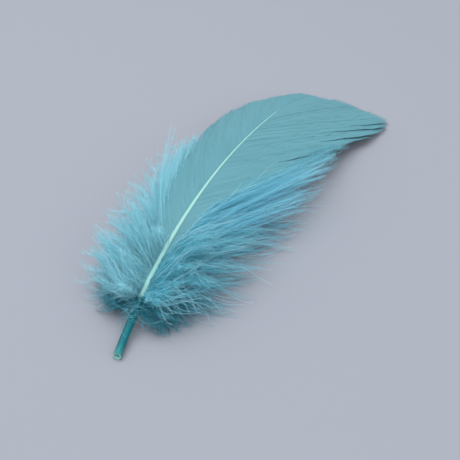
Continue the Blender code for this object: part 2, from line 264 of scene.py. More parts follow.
# Geometry Nodes: a tree is a list of nodes and links, with its sizes as named inputs.
class Tree:
    def __init__(self, name, inputs):
        self.tree = bpy.data.node_groups.new(name, "GeometryNodeTree")
        self.sockets = {}
        face = self.tree.interface
        face.new_socket("Geometry", in_out="INPUT", socket_type="NodeSocketGeometry")
        for label, kind in inputs:
            self.sockets[label] = face.new_socket(label, in_out="INPUT", socket_type=kind).identifier
        face.new_socket("Geometry", in_out="OUTPUT", socket_type="NodeSocketGeometry")
        self.source = self.tree.nodes.new("NodeGroupInput")
        self.result = self.tree.nodes.new("NodeGroupOutput")

    def node(self, kind, inputs=None, **settings):
        return addNode(self.tree, kind, inputs, **settings)

    def given(self, label):
        return self.source.outputs[label]

    def named(self, label, kind="FLOAT"):
        return self.node("GeometryNodeInputNamedAttribute", {"Name": label}, data_type=kind)

    def math(self, operation, *values):
        return mathNode(self.tree, operation, *values)

    def random(self, low, high, seed):
        return self.node("FunctionNodeRandomValue", {"Min": low, "Max": high, "Seed": seed})

    def finish(self, grown):
        whole = self.node("GeometryNodeRealizeInstances", {"Geometry": grown})
        skin = self.node("GeometryNodeSetMaterial", {"Geometry": whole, "Material": self.given("Material")})
        feed(self.tree, self.result, {0: skin})


floorRest = {"gap": 0.05 * mm, "ease": 0.55 * mm}


def keepOverFloor(mesh):
    # Whatever would reach through the surface below bends level just over it.
    gap, ease = floorRest["gap"], floorRest["ease"]
    points = np.empty(len(mesh.vertices) * 3, np.float32)
    mesh.vertices.foreach_get("co", points)
    height = points[2::3]
    bent = gap + ease * np.exp(np.minimum((height - gap - ease) / ease, 0))
    points[2::3] = np.where(height < gap + ease, bent, height)
    mesh.vertices.foreach_set("co", points)
    mesh.update()


def growFrom(lines, tree, values):
    # Runs a tree on a mesh of lines, and keeps what it grew as a plain mesh.
    grower = lines.modifiers.new(tree.tree.name, "NODES")
    grower.node_group = tree.tree
    for label, value in values.items():
        grower[tree.sockets[label]] = value
    graph = bpy.context.evaluated_depsgraph_get()
    mesh = bpy.data.meshes.new_from_object(lines.evaluated_get(graph))
    mesh.name = lines.name
    keepOverFloor(mesh)
    lines.modifiers.clear()
    bare = lines.data
    lines.data = mesh
    bpy.data.meshes.remove(bare)


def growDown(lines, tree, shape, barbules, material):
    growFrom(lines, tree, {"Spacing": shape["spacing"], "Barbule length": shape["barbule"],
                           "Spread": shape["spread"], "Material": material,
                           **dict(zip(barbuleKinds, barbules))})


def strandMap(tree, grown, across, down):
    # Gives every face the piece's own map: how pale it is across, and which strand it is down.
    pair = tree.node("ShaderNodeCombineXYZ", {"X": across, "Y": down})
    return tree.node("GeometryNodeStoreNamedAttribute", {
        "Geometry": grown, "Value": pair, "Name": "OFBake"}, data_type="FLOAT2", domain="CORNER")


def barbTree():
    # A flat ribbon with a low ridge along each line, as wide as the line's own value says.
    tree = Tree("webOfBarbs", [("Ridge", "NodeSocketFloat"), ("Material", "NodeSocketMaterial")])
    curve = tree.node("GeometryNodeMeshToCurve", {"Mesh": tree.given("Geometry")})
    turned = tree.node("GeometryNodeSetCurveNormal", {"Curve": curve}, mode="FREE")
    feed(tree.tree, turned, {"Normal": tree.named("facing", "FLOAT_VECTOR")})
    flat = tree.node("GeometryNodeCurvePrimitiveLine", {"Start": (0, -1, 0), "End": (0, 1, 0)})
    folded = tree.node("GeometryNodeResampleCurve", {"Curve": flat, "Count": 3})
    side = tree.node("ShaderNodeSeparateXYZ", {"Vector": tree.node("GeometryNodeInputPosition")})
    fromRim = tree.math("SUBTRACT", 1.0, tree.math("ABSOLUTE", side.outputs[1]))
    height = tree.math("MULTIPLY", fromRim, tree.given("Ridge"))
    lift = tree.node("ShaderNodeCombineXYZ", {"X": height})
    roof = tree.node("GeometryNodeSetPosition", {"Geometry": folded, "Offset": lift})
    ribbon = tree.node("GeometryNodeCurveToMesh", {
        "Curve": turned, "Profile Curve": roof, "Scale": tree.named("halfWidth")})
    tree.finish(strandMap(tree, ribbon, tree.named("share"), tree.named("shade")))
    return tree


barbuleKinds = ("Barbule", "Curled barbule", "Hooked barbule")
barbuleHabit = {
    "roll": 1.0,             # radians either way round the stem
    "lean": 0.3,             # radians either way, added to the tree's own spread
    "sizes": (0.7, 1.15),
    "stemTone": (0.42, 0.55),  # how pale a stem is at its root, and how much paler at its end
    "toneShare": 0.5,        # how much a barbule's tone follows its place on the stem, and its own length
}


def downTree():
    # A thin shaft along each line, and barbules out of it wherever the line's value says so.
    tree = Tree("downBarbs", [("Spacing", "NodeSocketFloat"), ("Barbule length", "NodeSocketFloat"),
                              ("Spread", "NodeSocketFloat"),
                              *((kind, "NodeSocketObject") for kind in barbuleKinds),
                              ("Material", "NodeSocketMaterial")])
    curve = tree.node("GeometryNodeMeshToCurve", {"Mesh": tree.given("Geometry")})
    ring = tree.node("GeometryNodeCurvePrimitiveCircle", {"Resolution": 3, "Radius": 1.0})
    stem = tree.node("GeometryNodeCurveToMesh", {
        "Curve": curve, "Profile Curve": ring, "Scale": tree.named("halfWidth")})
    darkest, paler = barbuleHabit["stemTone"]
    stemTone = tree.math("MULTIPLY_ADD", tree.named("share"), paler, darkest)
    stemMap = strandMap(tree, stem, stemTone, tree.named("shade"))
    places = tree.node("GeometryNodeCurveToPoints",
                       {"Curve": curve, "Length": tree.given("Spacing")}, mode="LENGTH")
    bare = tree.math("GREATER_THAN", tree.random(0.0, 1.0, 1), tree.named("fluff"))
    kept = tree.node("GeometryNodeDeleteGeometry", {"Geometry": places, "Selection": bare}, domain="POINT")
    # The points keep their turn as a value, so that what is left after the culling still has it.
    turn = places.outputs["Rotation"]
    number = tree.node("GeometryNodeInputIndex")
    flip = tree.math("MULTIPLY", tree.math("MODULO", number, 2.0), math.pi)
    roll = tree.math("ADD", flip, tree.random(-barbuleHabit["roll"], barbuleHabit["roll"], 2))
    rolled = tree.node("FunctionNodeAxisAngleToRotation", {"Angle": roll, "Axis": (0, 0, 1)})
    stray = tree.random(-barbuleHabit["lean"], barbuleHabit["lean"], 3)
    lean = tree.math("ADD", tree.given("Spread"), stray)
    leaned = tree.node("FunctionNodeAxisAngleToRotation", {"Angle": lean, "Axis": (1, 0, 0)})
    first = tree.node("FunctionNodeRotateRotation", {"Rotation": turn, "Rotate By": rolled},
                      rotation_space="LOCAL")
    second = tree.node("FunctionNodeRotateRotation",
                       {"Rotation": first, "Rotate By": leaned}, rotation_space="LOCAL")
    size = tree.math("MULTIPLY", tree.named("reach"), tree.random(*barbuleHabit["sizes"], 4))
    size = tree.math("MULTIPLY", tree.given("Barbule length"), size)
    shapes = tree.tree.nodes.new("GeometryNodeJoinGeometry")
    for kind in barbuleKinds:
        one = tree.node("GeometryNodeObjectInfo", {"Object": tree.given(kind)})
        whole = tree.node("GeometryNodeGeometryToInstance", {"Geometry": pick(one.outputs, "Geometry")})
        feed(tree.tree, shapes, {0: whole})
    choice = tree.node("FunctionNodeRandomValue", {"Min": 0, "Max": 2, "Seed": 5}, data_type="INT")
    placed = tree.node("GeometryNodeInstanceOnPoints", {
        "Points": kept, "Instance": shapes, "Instance Index": choice,
        "Rotation": second, "Scale": size, "Pick Instance": True})
    real = tree.node("GeometryNodeRealizeInstances", {"Geometry": placed})
    toneShare = barbuleHabit["toneShare"]
    tipTone = tree.math("MULTIPLY", tree.named("tipness"), toneShare)
    tone = tree.math("MULTIPLY_ADD", tree.named("share"), toneShare, tipTone)
    fluffMap = strandMap(tree, real, tone, tree.named("shade"))
    both = tree.tree.nodes.new("GeometryNodeJoinGeometry")
    for grown in (stemMap, fluffMap):
        feed(tree.tree, both, {0: grown})
    tree.finish(both)
    return tree


def barbuleShape(name, width, bow):
    # One barbule a metre long up Z: a tapered blade, straight in one face or bowed in three.
    heights = (0.0, 0.5) if bow else (0.0,)
    points = [(side * width / 2 * (1 - height / 2), bow * height, height)
              for height in heights for side in (-1, 1)]
    points.append((0.0, 0.0, 1.0))
    mesh = bpy.data.meshes.new(name)
    mesh.from_pydata(points, [], [(0, 1, 3), (0, 3, 2), (2, 3, 4)] if bow else [(0, 1, 2)])
    layer = mesh.attributes.new("tipness", "FLOAT", "POINT")
    layer.data.foreach_set("value", [p[2] for p in points])
    return addObject(name, mesh)


# Materials read the strands' own map. On the shaft, its outside and then its bore lie across that map.
skinMap = {"outside": 0.7, "bore": (0.72, 0.98), "rim": 0.004, "boreEnd": 0.02, "tipRing": 0.998}
dyesAndPaintedLight = {
    "vane": (0.090, 0.292, 0.338),
    "vaneShade": (0.070, 0.242, 0.288),
    "vanePale": (0.148, 0.380, 0.425),
    "rachis": (0.375, 0.665, 0.595),
    "rachisEnd": (0.330, 0.630, 0.540),
    "quill": (0.001, 0.095, 0.130),
    "quillPale": (0.006, 0.215, 0.230),
    "quillCut": (0.300, 0.620, 0.580),
    "quillEnd": (0.055, 0.330, 0.290),
    # Painted light: the left down is painted paler than the rest, and its root tone paler still, to light
    # the shaded hollow beside the shaft.
    "leftDeep": (0.600, 0.930, 0.980),
    "left": (0.390, 0.820, 0.900),
    "leftPale": (0.430, 0.725, 0.795),
    # Painted shade: the right down is painted darker than the left, and the base down darker still, as one
    # teal seen in shade.
    "rightDeep": (0.055, 0.380, 0.480),
    "right": (0.092, 0.520, 0.630),
    "rightPale": (0.450, 0.765, 0.860),
    "baseDeep": (0.005, 0.180, 0.240),
    "base": (0.012, 0.250, 0.320),
    "basePale": (0.190, 0.480, 0.580),
    "fringeDeep": (0.150, 0.590, 0.790),
    "fringe": (0.230, 0.680, 0.830),
    "fringePale": (0.480, 0.820, 0.900),
    "fringeEnd": (0.160, 0.450, 0.515),
}


def mixColours(tree, share, first, second):
    return addNode(tree, "ShaderNodeMix", {0: share, 6: first, 7: second}, data_type="RGBA")


def fadeBetween(tree, value, low, high, most=1.0):
    # A share that rises from nothing to its most as the value goes from low to high.
    return addNode(tree, "ShaderNodeMapRange",
                   {"Value": value, "From Min": low, "From Max": high, "To Max": most})


def splitPlace(tree, place):
    # The two numbers of a place on the strands' own map: across, and down.
    return addNode(tree, "ShaderNodeSeparateXYZ", {"Vector": place}).outputs[:2]


def dyeGroup():
    # Uneven dye: takes a place on the strands' own map, and gives a mask from 0 to 1.
    tree = bpy.data.node_groups.new("unevenDye", "ShaderNodeTree")
    face = tree.interface
    face.new_socket("Place", in_out="INPUT", socket_type="NodeSocketVector")
    for label, value in (("Across", 3.0), ("Down", 60.0), ("Contrast", 1.0)):
        face.new_socket(label, in_out="INPUT", socket_type="NodeSocketFloat").default_value = value
    face.new_socket("Mask", in_out="OUTPUT", socket_type="NodeSocketFloat")
    source, result = tree.nodes.new("NodeGroupInput"), tree.nodes.new("NodeGroupOutput")
    stretched = tree.nodes.new("ShaderNodeCombineXYZ")
    for axis, part in enumerate(splitPlace(tree, source.outputs["Place"])):
        scale = source.outputs[("Across", "Down")[axis]]
        feed(tree, stretched, {axis: mathNode(tree, "MULTIPLY", part, scale)})
    noise = addNode(tree, "ShaderNodeTexNoise", {"Vector": stretched, "Scale": 1.0, "Detail": 3.0})
    centred = mathNode(tree, "SUBTRACT", noise.outputs["Fac"], 0.5)
    scaled = mathNode(tree, "MULTIPLY", centred, source.outputs["Contrast"])
    mask = mathNode(tree, "ADD", scaled, 0.5)
    mask.use_clamp = True
    feed(tree, result, {"Mask": mask})
    return tree


def newMaterial(name, finish):
    material = bpy.data.materials.new(name)
    material.use_nodes = True
    shader = material.node_tree.nodes["Principled BSDF"]
    feed(material.node_tree, shader, finish)
    return material, shader, material.node_tree


def strandPlace(tree):
    return addNode(tree, "ShaderNodeUVMap", uv_map="OFBake")


def placeDye(tree, group, place, pattern):
    # A pattern is how often the dye changes across and down, and how strongly.
    inputs = {"Place": place, **dict(zip(("Across", "Down", "Contrast"), pattern))}
    return addNode(tree, "ShaderNodeGroup", inputs, node_tree=group).outputs["Mask"]


satinLook = {
    "finish": {"Sheen Weight": 0.1, "Sheen Roughness": 0.4},
    "broad": (1.6, 9.0, 1.3), "fine": (3.0, 260.0, 2.2),
    "streaks": 0.45,            # share of the pale dye in the fine streaks
    "roughness": (0.42, 0.16),  # least, and how much more on the streaks
}


def vaneMaterial(group):
    material, shader, tree = newMaterial("satinBarbs", satinLook["finish"])
    place = strandPlace(tree)
    broad = placeDye(tree, group, place, satinLook["broad"])
    fine = placeDye(tree, group, place, satinLook["fine"])
    body = mixColours(tree, broad, dyesAndPaintedLight["vaneShade"], dyesAndPaintedLight["vane"])
    streaks = mathNode(tree, "MULTIPLY", fine, satinLook["streaks"])
    least, more = satinLook["roughness"]
    feed(tree, shader, {"Base Color": mixColours(tree, streaks, body, dyesAndPaintedLight["vanePale"]),
                        "Roughness": mathNode(tree, "MULTIPLY_ADD", fine, more, least)})
    return material


downLook = {
    "finish": {"Roughness": 0.8, "Specular IOR Level": 0.2},
    "bodyAt": 0.4, "paleAt": 0.95,  # shares of a strand where it has its body tone and its pale one
    "uneven": (1.2, 120.0, 2.4), "unevenShare": 0.5,
    "towardsVane": 0.85,            # share of the vane's tone in the loose ends furthest along
}


def downMaterial(group, name, tone, towards=None):
    material, shader, tree = newMaterial(name, downLook["finish"])
    place = strandPlace(tree)
    across, down = splitPlace(tree, place)
    ramp = addNode(tree, "ShaderNodeValToRGB", {0: across})
    # The tone set is painted light for the left down, with a root tone paler than its body, and painted
    # shade for the right and base down.
    deep, body, pale = dyesAndPaintedLight[tone + "Deep"], dyesAndPaintedLight[tone], dyesAndPaintedLight[tone + "Pale"]
    ramp.color_ramp.elements[0].color = (*deep, 1.0)
    ramp.color_ramp.elements[1].color = (*pale, 1.0)
    ramp.color_ramp.elements[1].position = downLook["paleAt"]
    middle = ramp.color_ramp.elements.new(downLook["bodyAt"])
    middle.color = (*body, 1.0)
    uneven = placeDye(tree, group, place, downLook["uneven"])
    uneven = mathNode(tree, "MULTIPLY", uneven, downLook["unevenShare"])
    mixed = mixColours(tree, uneven, ramp, body)
    if towards:
        # Barbs rooted further along the shaft take on the vane's own tone.
        change = fadeBetween(tree, down, *towards, downLook["towardsVane"])
        mixed = mixColours(tree, change, mixed, dyesAndPaintedLight["fringeEnd"])
    feed(tree, shader, {"Base Color": mixed})
    return material


# Places along the quill are shares of the shaft's length, and patterns are as placeDye takes them.
quillLook = {
    "finish": {"Specular IOR Level": 0.22},
    "mottle": (9.0, 70.0, 2.0), "ridges": (60.0, 8.0, 3.0),
    "dyeEdge": (-0.006, 0.012),  # where the teal starts to give way, and where it has gone
    "dyeWave": 0.018,
    "mintFade": (0.25, 0.95),    # where the rachis turns from its first mint to its last
    "cutFade": (0.034, 0.006), "cutShare": 0.7,  # the teal turns greener towards the cut
    "roughness": (0.26, 0.20),   # least, and how much more on the ridges
    "bump": 0.25, "bumpHeight": 0.2 * mm,
}


def quillMaterial(group):
    material, shader, tree = newMaterial("keratin", quillLook["finish"])
    place = strandPlace(tree)
    across, down = splitPlace(tree, place)
    mottle = placeDye(tree, group, place, quillLook["mottle"])
    ridges = placeDye(tree, group, place, quillLook["ridges"])
    line = shaftShape["dyeLine"] / shaftShape["length"]
    wavy = mathNode(tree, "MULTIPLY_ADD", mottle, quillLook["dyeWave"], down)
    gone = fadeBetween(tree, wavy, *(line + shift for shift in quillLook["dyeEdge"]))
    further = fadeBetween(tree, down, *quillLook["mintFade"])
    nearCut = fadeBetween(tree, wavy, *quillLook["cutFade"], quillLook["cutShare"])
    teal = mixColours(tree, ridges, dyesAndPaintedLight["quill"], dyesAndPaintedLight["quillPale"])
    teal = mixColours(tree, nearCut, teal, dyesAndPaintedLight["quillEnd"])
    mint = mixColours(tree, further, dyesAndPaintedLight["rachis"], dyesAndPaintedLight["rachisEnd"])
    dyed = mixColours(tree, gone, teal, mint)
    cutFace = mathNode(tree, "GREATER_THAN", across, (skinMap["outside"] + skinMap["bore"][0]) / 2)
    least, more = quillLook["roughness"]
    bump = addNode(tree, "ShaderNodeBump", {
        "Strength": quillLook["bump"], "Distance": quillLook["bumpHeight"], "Height": ridges})
    feed(tree, shader, {"Base Color": mixColours(tree, cutFace, dyed, dyesAndPaintedLight["quillCut"]), "Normal": bump,
                        "Roughness": mathNode(tree, "MULTIPLY_ADD", ridges, more, least)})
    return material


shaftSkin = {
    "points": 28, "step": 0.8 * mm,
    "cutStretch": 12 * mm, "cutStep": 0.5 * mm,  # finer rings near the cut end
    "fray": 0.10 * mm, "slantReach": 5 * mm,     # the cut's slant and fray fade out over this length
    "squareBetween": (24 * mm, 40 * mm), "squareness": 1.6,
    "groove": 0.22, "grooveWidth": 0.42,         # share of the radius, and radians
    "waves": ((900, 0.005, 0.0), (2300, 0.004, 1.0)),  # radians a metre, share of the radius, start
    "boreStep": 1 * mm, "lipDepth": 0.25 * mm, "lipFlare": 1.1, "boreFlare": 1.04,
    "domeDepth": 2.2 * mm,                       # how far the bore's closed end bulges back
    "tipReach": 0.2 * mm, "seed": 5,
}


def makeShaft(material):
    # The quill as one closed skin: cut rim, hollow, round calamus and squarish rachis with its groove.
    count, length, boreDepth = shaftSkin["points"], shaftShape["length"], shaftShape["boreDepth"]
    around = np.arange(count) / count * 2 * math.pi
    rng = np.random.default_rng(shaftSkin["seed"])
    fray = shaftSkin["fray"] * rng.standard_normal(count)
    slant = math.tan(math.radians(shaftShape["cutSlant"]))

    def ring(s, radius, rachis):
        point, forward = along(axisPoints, s), along(axisForward, s)
        right, up = along(axisRight, s), along(axisUp, s)
        power = 2 + shaftSkin["squareness"] * rachis
        cos, sin = np.cos(around), np.sin(around)
        reach = (np.abs(cos) ** power + np.abs(sin) ** power) ** (-1 / power)
        fromBelow = np.abs(np.angle(np.exp(1j * (around + math.pi / 2))))
        under = np.exp(-((fromBelow / shaftSkin["grooveWidth"]) ** 2))
        reach = reach * radius * (1 - shaftSkin["groove"] * rachis * under)
        shift = (slant * sin * radius + fray) * float(1 - smoothStep(0, shaftSkin["slantReach"], s))
        return point + np.outer(cos * reach, right) + np.outer(sin * reach, up) + np.outer(shift, forward)

    steps = np.concatenate([np.arange(0, shaftSkin["cutStretch"], shaftSkin["cutStep"]),
                            np.arange(shaftSkin["cutStretch"], length, shaftSkin["step"]), [length]])
    rings = []
    for s in steps:
        wave = sum(share * math.sin(s * speed + start) for speed, share, start in shaftSkin["waves"])
        rachis = float(smoothStep(*shaftSkin["squareBetween"], s))
        rings.append(ring(s, float(shaftRadius(s)) * (1 + wave), rachis))
    outer = len(rings)
    boreStep = shaftSkin["boreStep"]
    inside = np.arange(boreStep, boreDepth, boreStep)
    inside = np.concatenate([[0.0, shaftSkin["lipDepth"]], inside, [boreDepth]])
    for s in inside:
        flare = shaftSkin["boreFlare"] if s > 0 else shaftSkin["lipFlare"]
        rings.append(ring(s, shaftShape["boreRadius"] * flare, 0.0))
    dome = along(axisPoints, boreDepth - shaftSkin["domeDepth"])
    tip = along(axisPoints, length) + along(axisForward, length) * shaftSkin["tipReach"]
    points = np.concatenate(rings + [dome[None], tip[None]])
    domeIndex, tipIndex = len(points) - 2, len(points) - 1
    faces, places = [], []

    def band(first, second, across, v0, v1, turned=False, closed=False):
        # One ring of faces between two rings of points, or closed on one point, with its place on the map.
        for k in range(count):
            n = (k + 1) % count
            a, b = between(across, k / count), between(across, (k + 1) / count)
            spots = [(first + k, a, v0), (first + n, b, v0)]
            far = [(second, (a + b) / 2, v1)] if closed else [(second + n, b, v1), (second + k, a, v1)]
            spots = spots + far
            if turned:
                spots.reverse()
            faces.append([spot[0] for spot in spots])
            places.extend(spot[1:] for spot in spots)

    outside, bore, rim = (0.0, skinMap["outside"]), skinMap["bore"], skinMap["rim"]
    for k in range(outer - 1):
        band(k * count, (k + 1) * count, outside, steps[k] / length, steps[k + 1] / length)
    base = outer * count
    band(0, base, bore, 0.0, rim, turned=True)
    depths = rim + inside / length
    for k in range(len(inside) - 1):
        band(base + k * count, base + (k + 1) * count, bore, depths[k], depths[k + 1], turned=True)
    band(base + (len(inside) - 1) * count, domeIndex, bore, depths[-1], depths[-1] + skinMap["boreEnd"],
         turned=True, closed=True)
    band((outer - 1) * count, tipIndex, outside, skinMap["tipRing"], 1.0, closed=True)
    mesh = bpy.data.meshes.new("shaft")
    mesh.from_pydata([tuple(p) for p in points], [], faces)
    layer = mesh.uv_layers.new(name="OFBake")
    layer.data.foreach_set("uv", np.array(places, np.float32).reshape(-1))
    mesh.shade_smooth()
    mesh.materials.append(material)
    return addObject("shaft", mesh)


# How a parting spreads to the barbs near it. The lip towards the tip stands up, and the other one hangs.
partingShape = {
    "opening": 1.4, "lifting": 0.7,  # powers of how far out along the barb
    "openReach": 5 * mm, "tipReach": 6 * mm, "cutReach": 9 * mm,
    "tipShare": 0.6, "cutShare": 0.4,
}


def parted(vane, roots, share):
    # How far barbs are pushed along the shaft, and up, by the partings near them.
    push = np.zeros((len(roots), share.shape[1]))
    lift = np.zeros_like(push)
    for root, start, opening, lips in vane["partings"]:
        away = (roots - root * mm)[:, None]
        ramp = np.clip((share - start) / (1 - start), 0.0, 1.0) ** partingShape["opening"]
        near = np.exp(-np.abs(away) / partingShape["openReach"])
        push += np.sign(away) * opening * mm / 2 * near * ramp
        ahead = np.where(away > 0, np.exp(-away / partingShape["tipReach"]), 0.0)
        behind = np.where(away <= 0, np.exp(away / partingShape["cutReach"]), 0.0)
        step = partingShape["tipShare"] * ahead - partingShape["cutShare"] * behind
        lift += lips * mm * step * ramp ** partingShape["lifting"]
    return push, lift


webShape = {
    "rootStray": 0.06, "heightStray": 0.03,   # mm
    "waves": ((0.7, 210, 1), (0.5, 530, 2)),  # degrees, radians a metre of shaft, start
    "angleStray": 0.25,                       # degrees
    "calm": 0.75, "calmBefore": 20 * mm,      # the barbs lie calmer where they fan out
    "looseSteps": 4, "endStray": (0.13, 0.010),  # of barbs that go on as down, and of the others
    "gather": 0.95, "leastHeight": 0.25 * mm,
    "ripples": ((0.16 * mm, 420, 130), (0.10 * mm, 900, -260)), "rippleBetween": (3 * mm, 12 * mm),
    "taperSteps": 3, "ends": (0.30, 0.10), "taper": 0.6, "leastTaper": 0.16,
    "overlap": 0.66, "mostWidth": 3.0, "shadeStray": 0.004, "ridge": 0.16,
}


def makeWeb(vane, rng, tree, material):
    # The satin stretch of every barb of one vane, as a ribbon. Also gives what the loose ends go on from.
    count = vane["barbs"]
    roots = np.linspace(vaneZone["first"], vaneZone["last"], count)
    roots = roots + rng.uniform(-webShape["rootStray"], webShape["rootStray"], count) * mm
    wave = sum(size * np.sin(roots * speed + start * vane["seed"])
               for size, speed, start in webShape["waves"])
    fanned = smoothStep(vaneZone["fanFrom"] - webShape["calmBefore"], vaneZone["last"], roots)
    wave = (wave + rng.normal(0, webShape["angleStray"], count)) * (1 - webShape["calm"] * fanned)
    sTrack, wTrack, satinEnd, wholeEnd = barbWalk(roots, vane, wave)
    uneven = np.where(wholeEnd - satinEnd > webShape["looseSteps"], *webShape["endStray"])
    satinEnd = np.minimum(satinEnd * (1 + uneven * rng.normal(0, 1, count)), wholeEnd)
    span = np.linspace(0, 1, vane["points"])[None] ** webShape["gather"]
    step = span * satinEnd[:, None]
    s, width = readTrack(sTrack, step), readTrack(wTrack, step)
    share = step / np.maximum(wholeEnd[:, None], 1)
    push, lift = parted(vane, roots, share)
    s = s + push
    place, facing = vaneSurface(s, width, vane)
    ripple = sum(high * np.sin(s * first + width * second) for high, first, second in webShape["ripples"])
    lift = lift + ripple * smoothStep(*webShape["rippleBetween"], width)
    lift = lift + rng.normal(0, webShape["heightStray"], (count, 1)) * mm
    place = place + facing * lift[..., None]
    place[..., 2] = np.maximum(place[..., 2], webShape["leastHeight"])
    # Each ribbon is wide enough to lap over the next one, and narrows at its end.
    ends = np.where(wholeEnd - satinEnd > webShape["taperSteps"], *webShape["ends"])[:, None]
    taper = np.clip((1 - span) / ends, 0.0, 1.0) ** webShape["taper"]
    ahead = np.concatenate([place[1:] - place[:-1], place[-1:] - place[-2:-1]])
    way = unit(np.gradient(place, axis=1))
    apart = np.linalg.norm(ahead - way * (ahead * way).sum(-1, keepdims=True), axis=-1)
    least = vane["halfWidth"]
    halfWidth = np.clip(webShape["overlap"] * apart, least, webShape["mostWidth"] * least)
    halfWidth = halfWidth * np.maximum(taper, webShape["leastTaper"])
    stray = rng.uniform(-webShape["shadeStray"], webShape["shadeStray"], count)
    shade = np.broadcast_to((roots / shaftShape["length"] + stray)[:, None], s.shape)
    values = {"facing": facing, "halfWidth": halfWidth, "share": share, "shade": shade}
    web = lineMesh(vane["name"], place, values)
    growFrom(web, tree, {"Ridge": webShape["ridge"], "Material": material})
    print(web.name, len(web.data.polygons), "faces")
    return web, roots, (sTrack, wTrack, satinEnd, wholeEnd)


fringeShape = {
    "points": 16, "from": 0.8,  # share of the satin stretch where a loose end starts
    "lengths": (0.86, 1.08), "lean": (0.03, 0.10), "swing": 0.07,  # shares of its length
    "curl": 1.1 * mm, "curlTurns": (3, 8), "curlUp": 0.6,
    "radii": (0.075, 0.045),    # mm at the start, and how much thinner at the end
    "reach": (0.75, 0.35, 0.25), "leastHeight": 0.35 * mm, "shadeStray": 0.012,
    "spacing": 0.13 * mm, "barbule": 2.6 * mm, "spread": 1.0,
}


def makeFringe(vane, rng, roots, walk, tree, barbules, material):
    # The loose end of every barb that goes on beyond the satin, as down.
    sTrack, wTrack, satinEnd, wholeEnd = walk
    loose = np.where(wholeEnd - satinEnd > webShape["looseSteps"])[0]
    roots, satinEnd, wholeEnd = roots[loose], satinEnd[loose, None], wholeEnd[loose, None]
    each = (len(loose), 1)
    run = np.linspace(0, 1, fringeShape["points"])[None]
    start = satinEnd * fringeShape["from"]
    extra = wholeEnd * rng.uniform(*fringeShape["lengths"], each) - start
    step = start + extra * run
    s, width = readTrack(sTrack[:, loose], step), readTrack(wTrack[:, loose], step)
    share = np.clip(step / wholeEnd, 0, 1)
    s = s + parted(vane, roots, share)[0]
    place, facing = vaneSurface(s, width, vane)
    reach = extra * vaneZone["barbStep"] * run
    mean, spread = fringeShape["lean"]
    lean = rng.normal(0, spread, each) + mean
    swing = rng.normal(0, fringeShape["swing"], each)
    phase = rng.uniform(0, fullTurn, each)
    curl = fringeShape["curl"] * run * np.sin(run * rng.uniform(*fringeShape["curlTurns"], each) + phase)
    place = place + facing * (lean * reach + curl * fringeShape["curlUp"])[..., None]
    place = place + along(axisForward, s) * (swing * reach + curl)[..., None]
    place[..., 2] = np.maximum(place[..., 2], fringeShape["leastHeight"])
    thick, thinning = fringeShape["radii"]
    stray = rng.uniform(-fringeShape["shadeStray"], fringeShape["shadeStray"], each)
    first, swell, drop = fringeShape["reach"]
    grown = lineMesh(vane["name"].replace("vane", "fringe"), place, {
        "halfWidth": (thick - thinning * run) * mm * np.ones_like(s), "share": share,
        "shade": np.broadcast_to(roots[:, None] / shaftShape["length"] + stray, s.shape),
        "fluff": np.clip((step / satinEnd - vane["fluffFrom"]) * vane["fluffRise"], 0, 1),
        "reach": (first + swell * np.sin(math.pi * run) - drop * run) * np.ones_like(s)})
    growDown(grown, tree, fringeShape, barbules, material)
    print(grown.name, len(loose), "loose ends,", len(grown.data.polygons), "faces")
    return grown


# Each entry is a group of down locks, from its first root to its last: roots and lengths in mm, and what
# it has of its own in place of downShape's values. Six groups are the solids' own locks, and the hairs over
# the quill and the short tufts beside the shaft lie among them.
# The dye entry picks painted light for the left locks and painted shade for the right and base locks.
downLocks = [
    {"name": "downRightWide", "dye": "right", "locks": 17, "side": 1, "roots": (28, 98), "angles": (90, 50),
     "lengths": (34, 44), "climb": 4, "stray": 22, "strands": 21},
    {"name": "downRightHigh", "dye": "right", "locks": 8, "side": 1, "roots": (26, 50), "angles": (112, 74),
     "fluffy": 4, "lengths": (24, 36), "climb": 30, "stray": 24, "strands": 30},
    {"name": "downLeftWide", "dye": "left", "locks": 15, "side": -1, "roots": (28, 96), "angles": (84, 30),
     "fluffy": 24, "lengths": (32, 39), "shares": (0.56, 0.97), "climb": 4, "stray": 20, "strands": 24},
    {"name": "downLeftHigh", "dye": "left", "locks": 7, "side": -1, "roots": (26, 50), "angles": (104, 58),
     "fluffy": 7, "lengths": (22, 30), "climb": 30, "stray": 24, "strands": 30},
    {"name": "downBaseRight", "dye": "base", "locks": 5, "side": 1, "roots": (24, 34), "angles": (146, 112),
     "lengths": (18, 26), "climb": -6, "stray": 16, "strands": 42, "angleSpread": 20, "mostTurn": 148},
    {"name": "downBaseLeft", "dye": "base", "locks": 5, "side": -1, "roots": (24, 34), "angles": (140, 106),
     "lengths": (16, 22), "climb": -6, "stray": 16, "strands": 42, "angleSpread": 20},
    {"name": "downOverQuill", "dye": "base", "locks": 6, "side": 1, "roots": (24, 28), "angles": (196, 142),
     "lengths": (12, 22), "climb": 10, "stray": 20, "strands": 9, "angleSpread": 18, "wisps": 1.0,
     "leastRoot": 24, "mostTurn": 250},
    {"name": "downRightNear", "dye": "right", "locks": 9, "side": 1, "roots": (29, 66), "angles": (98, 56),
     "fluffy": 5, "lengths": (9, 16), "climb": 2, "stray": 14, "strands": 9, "angleSpread": 18,
     "wisps": 0.15},
]
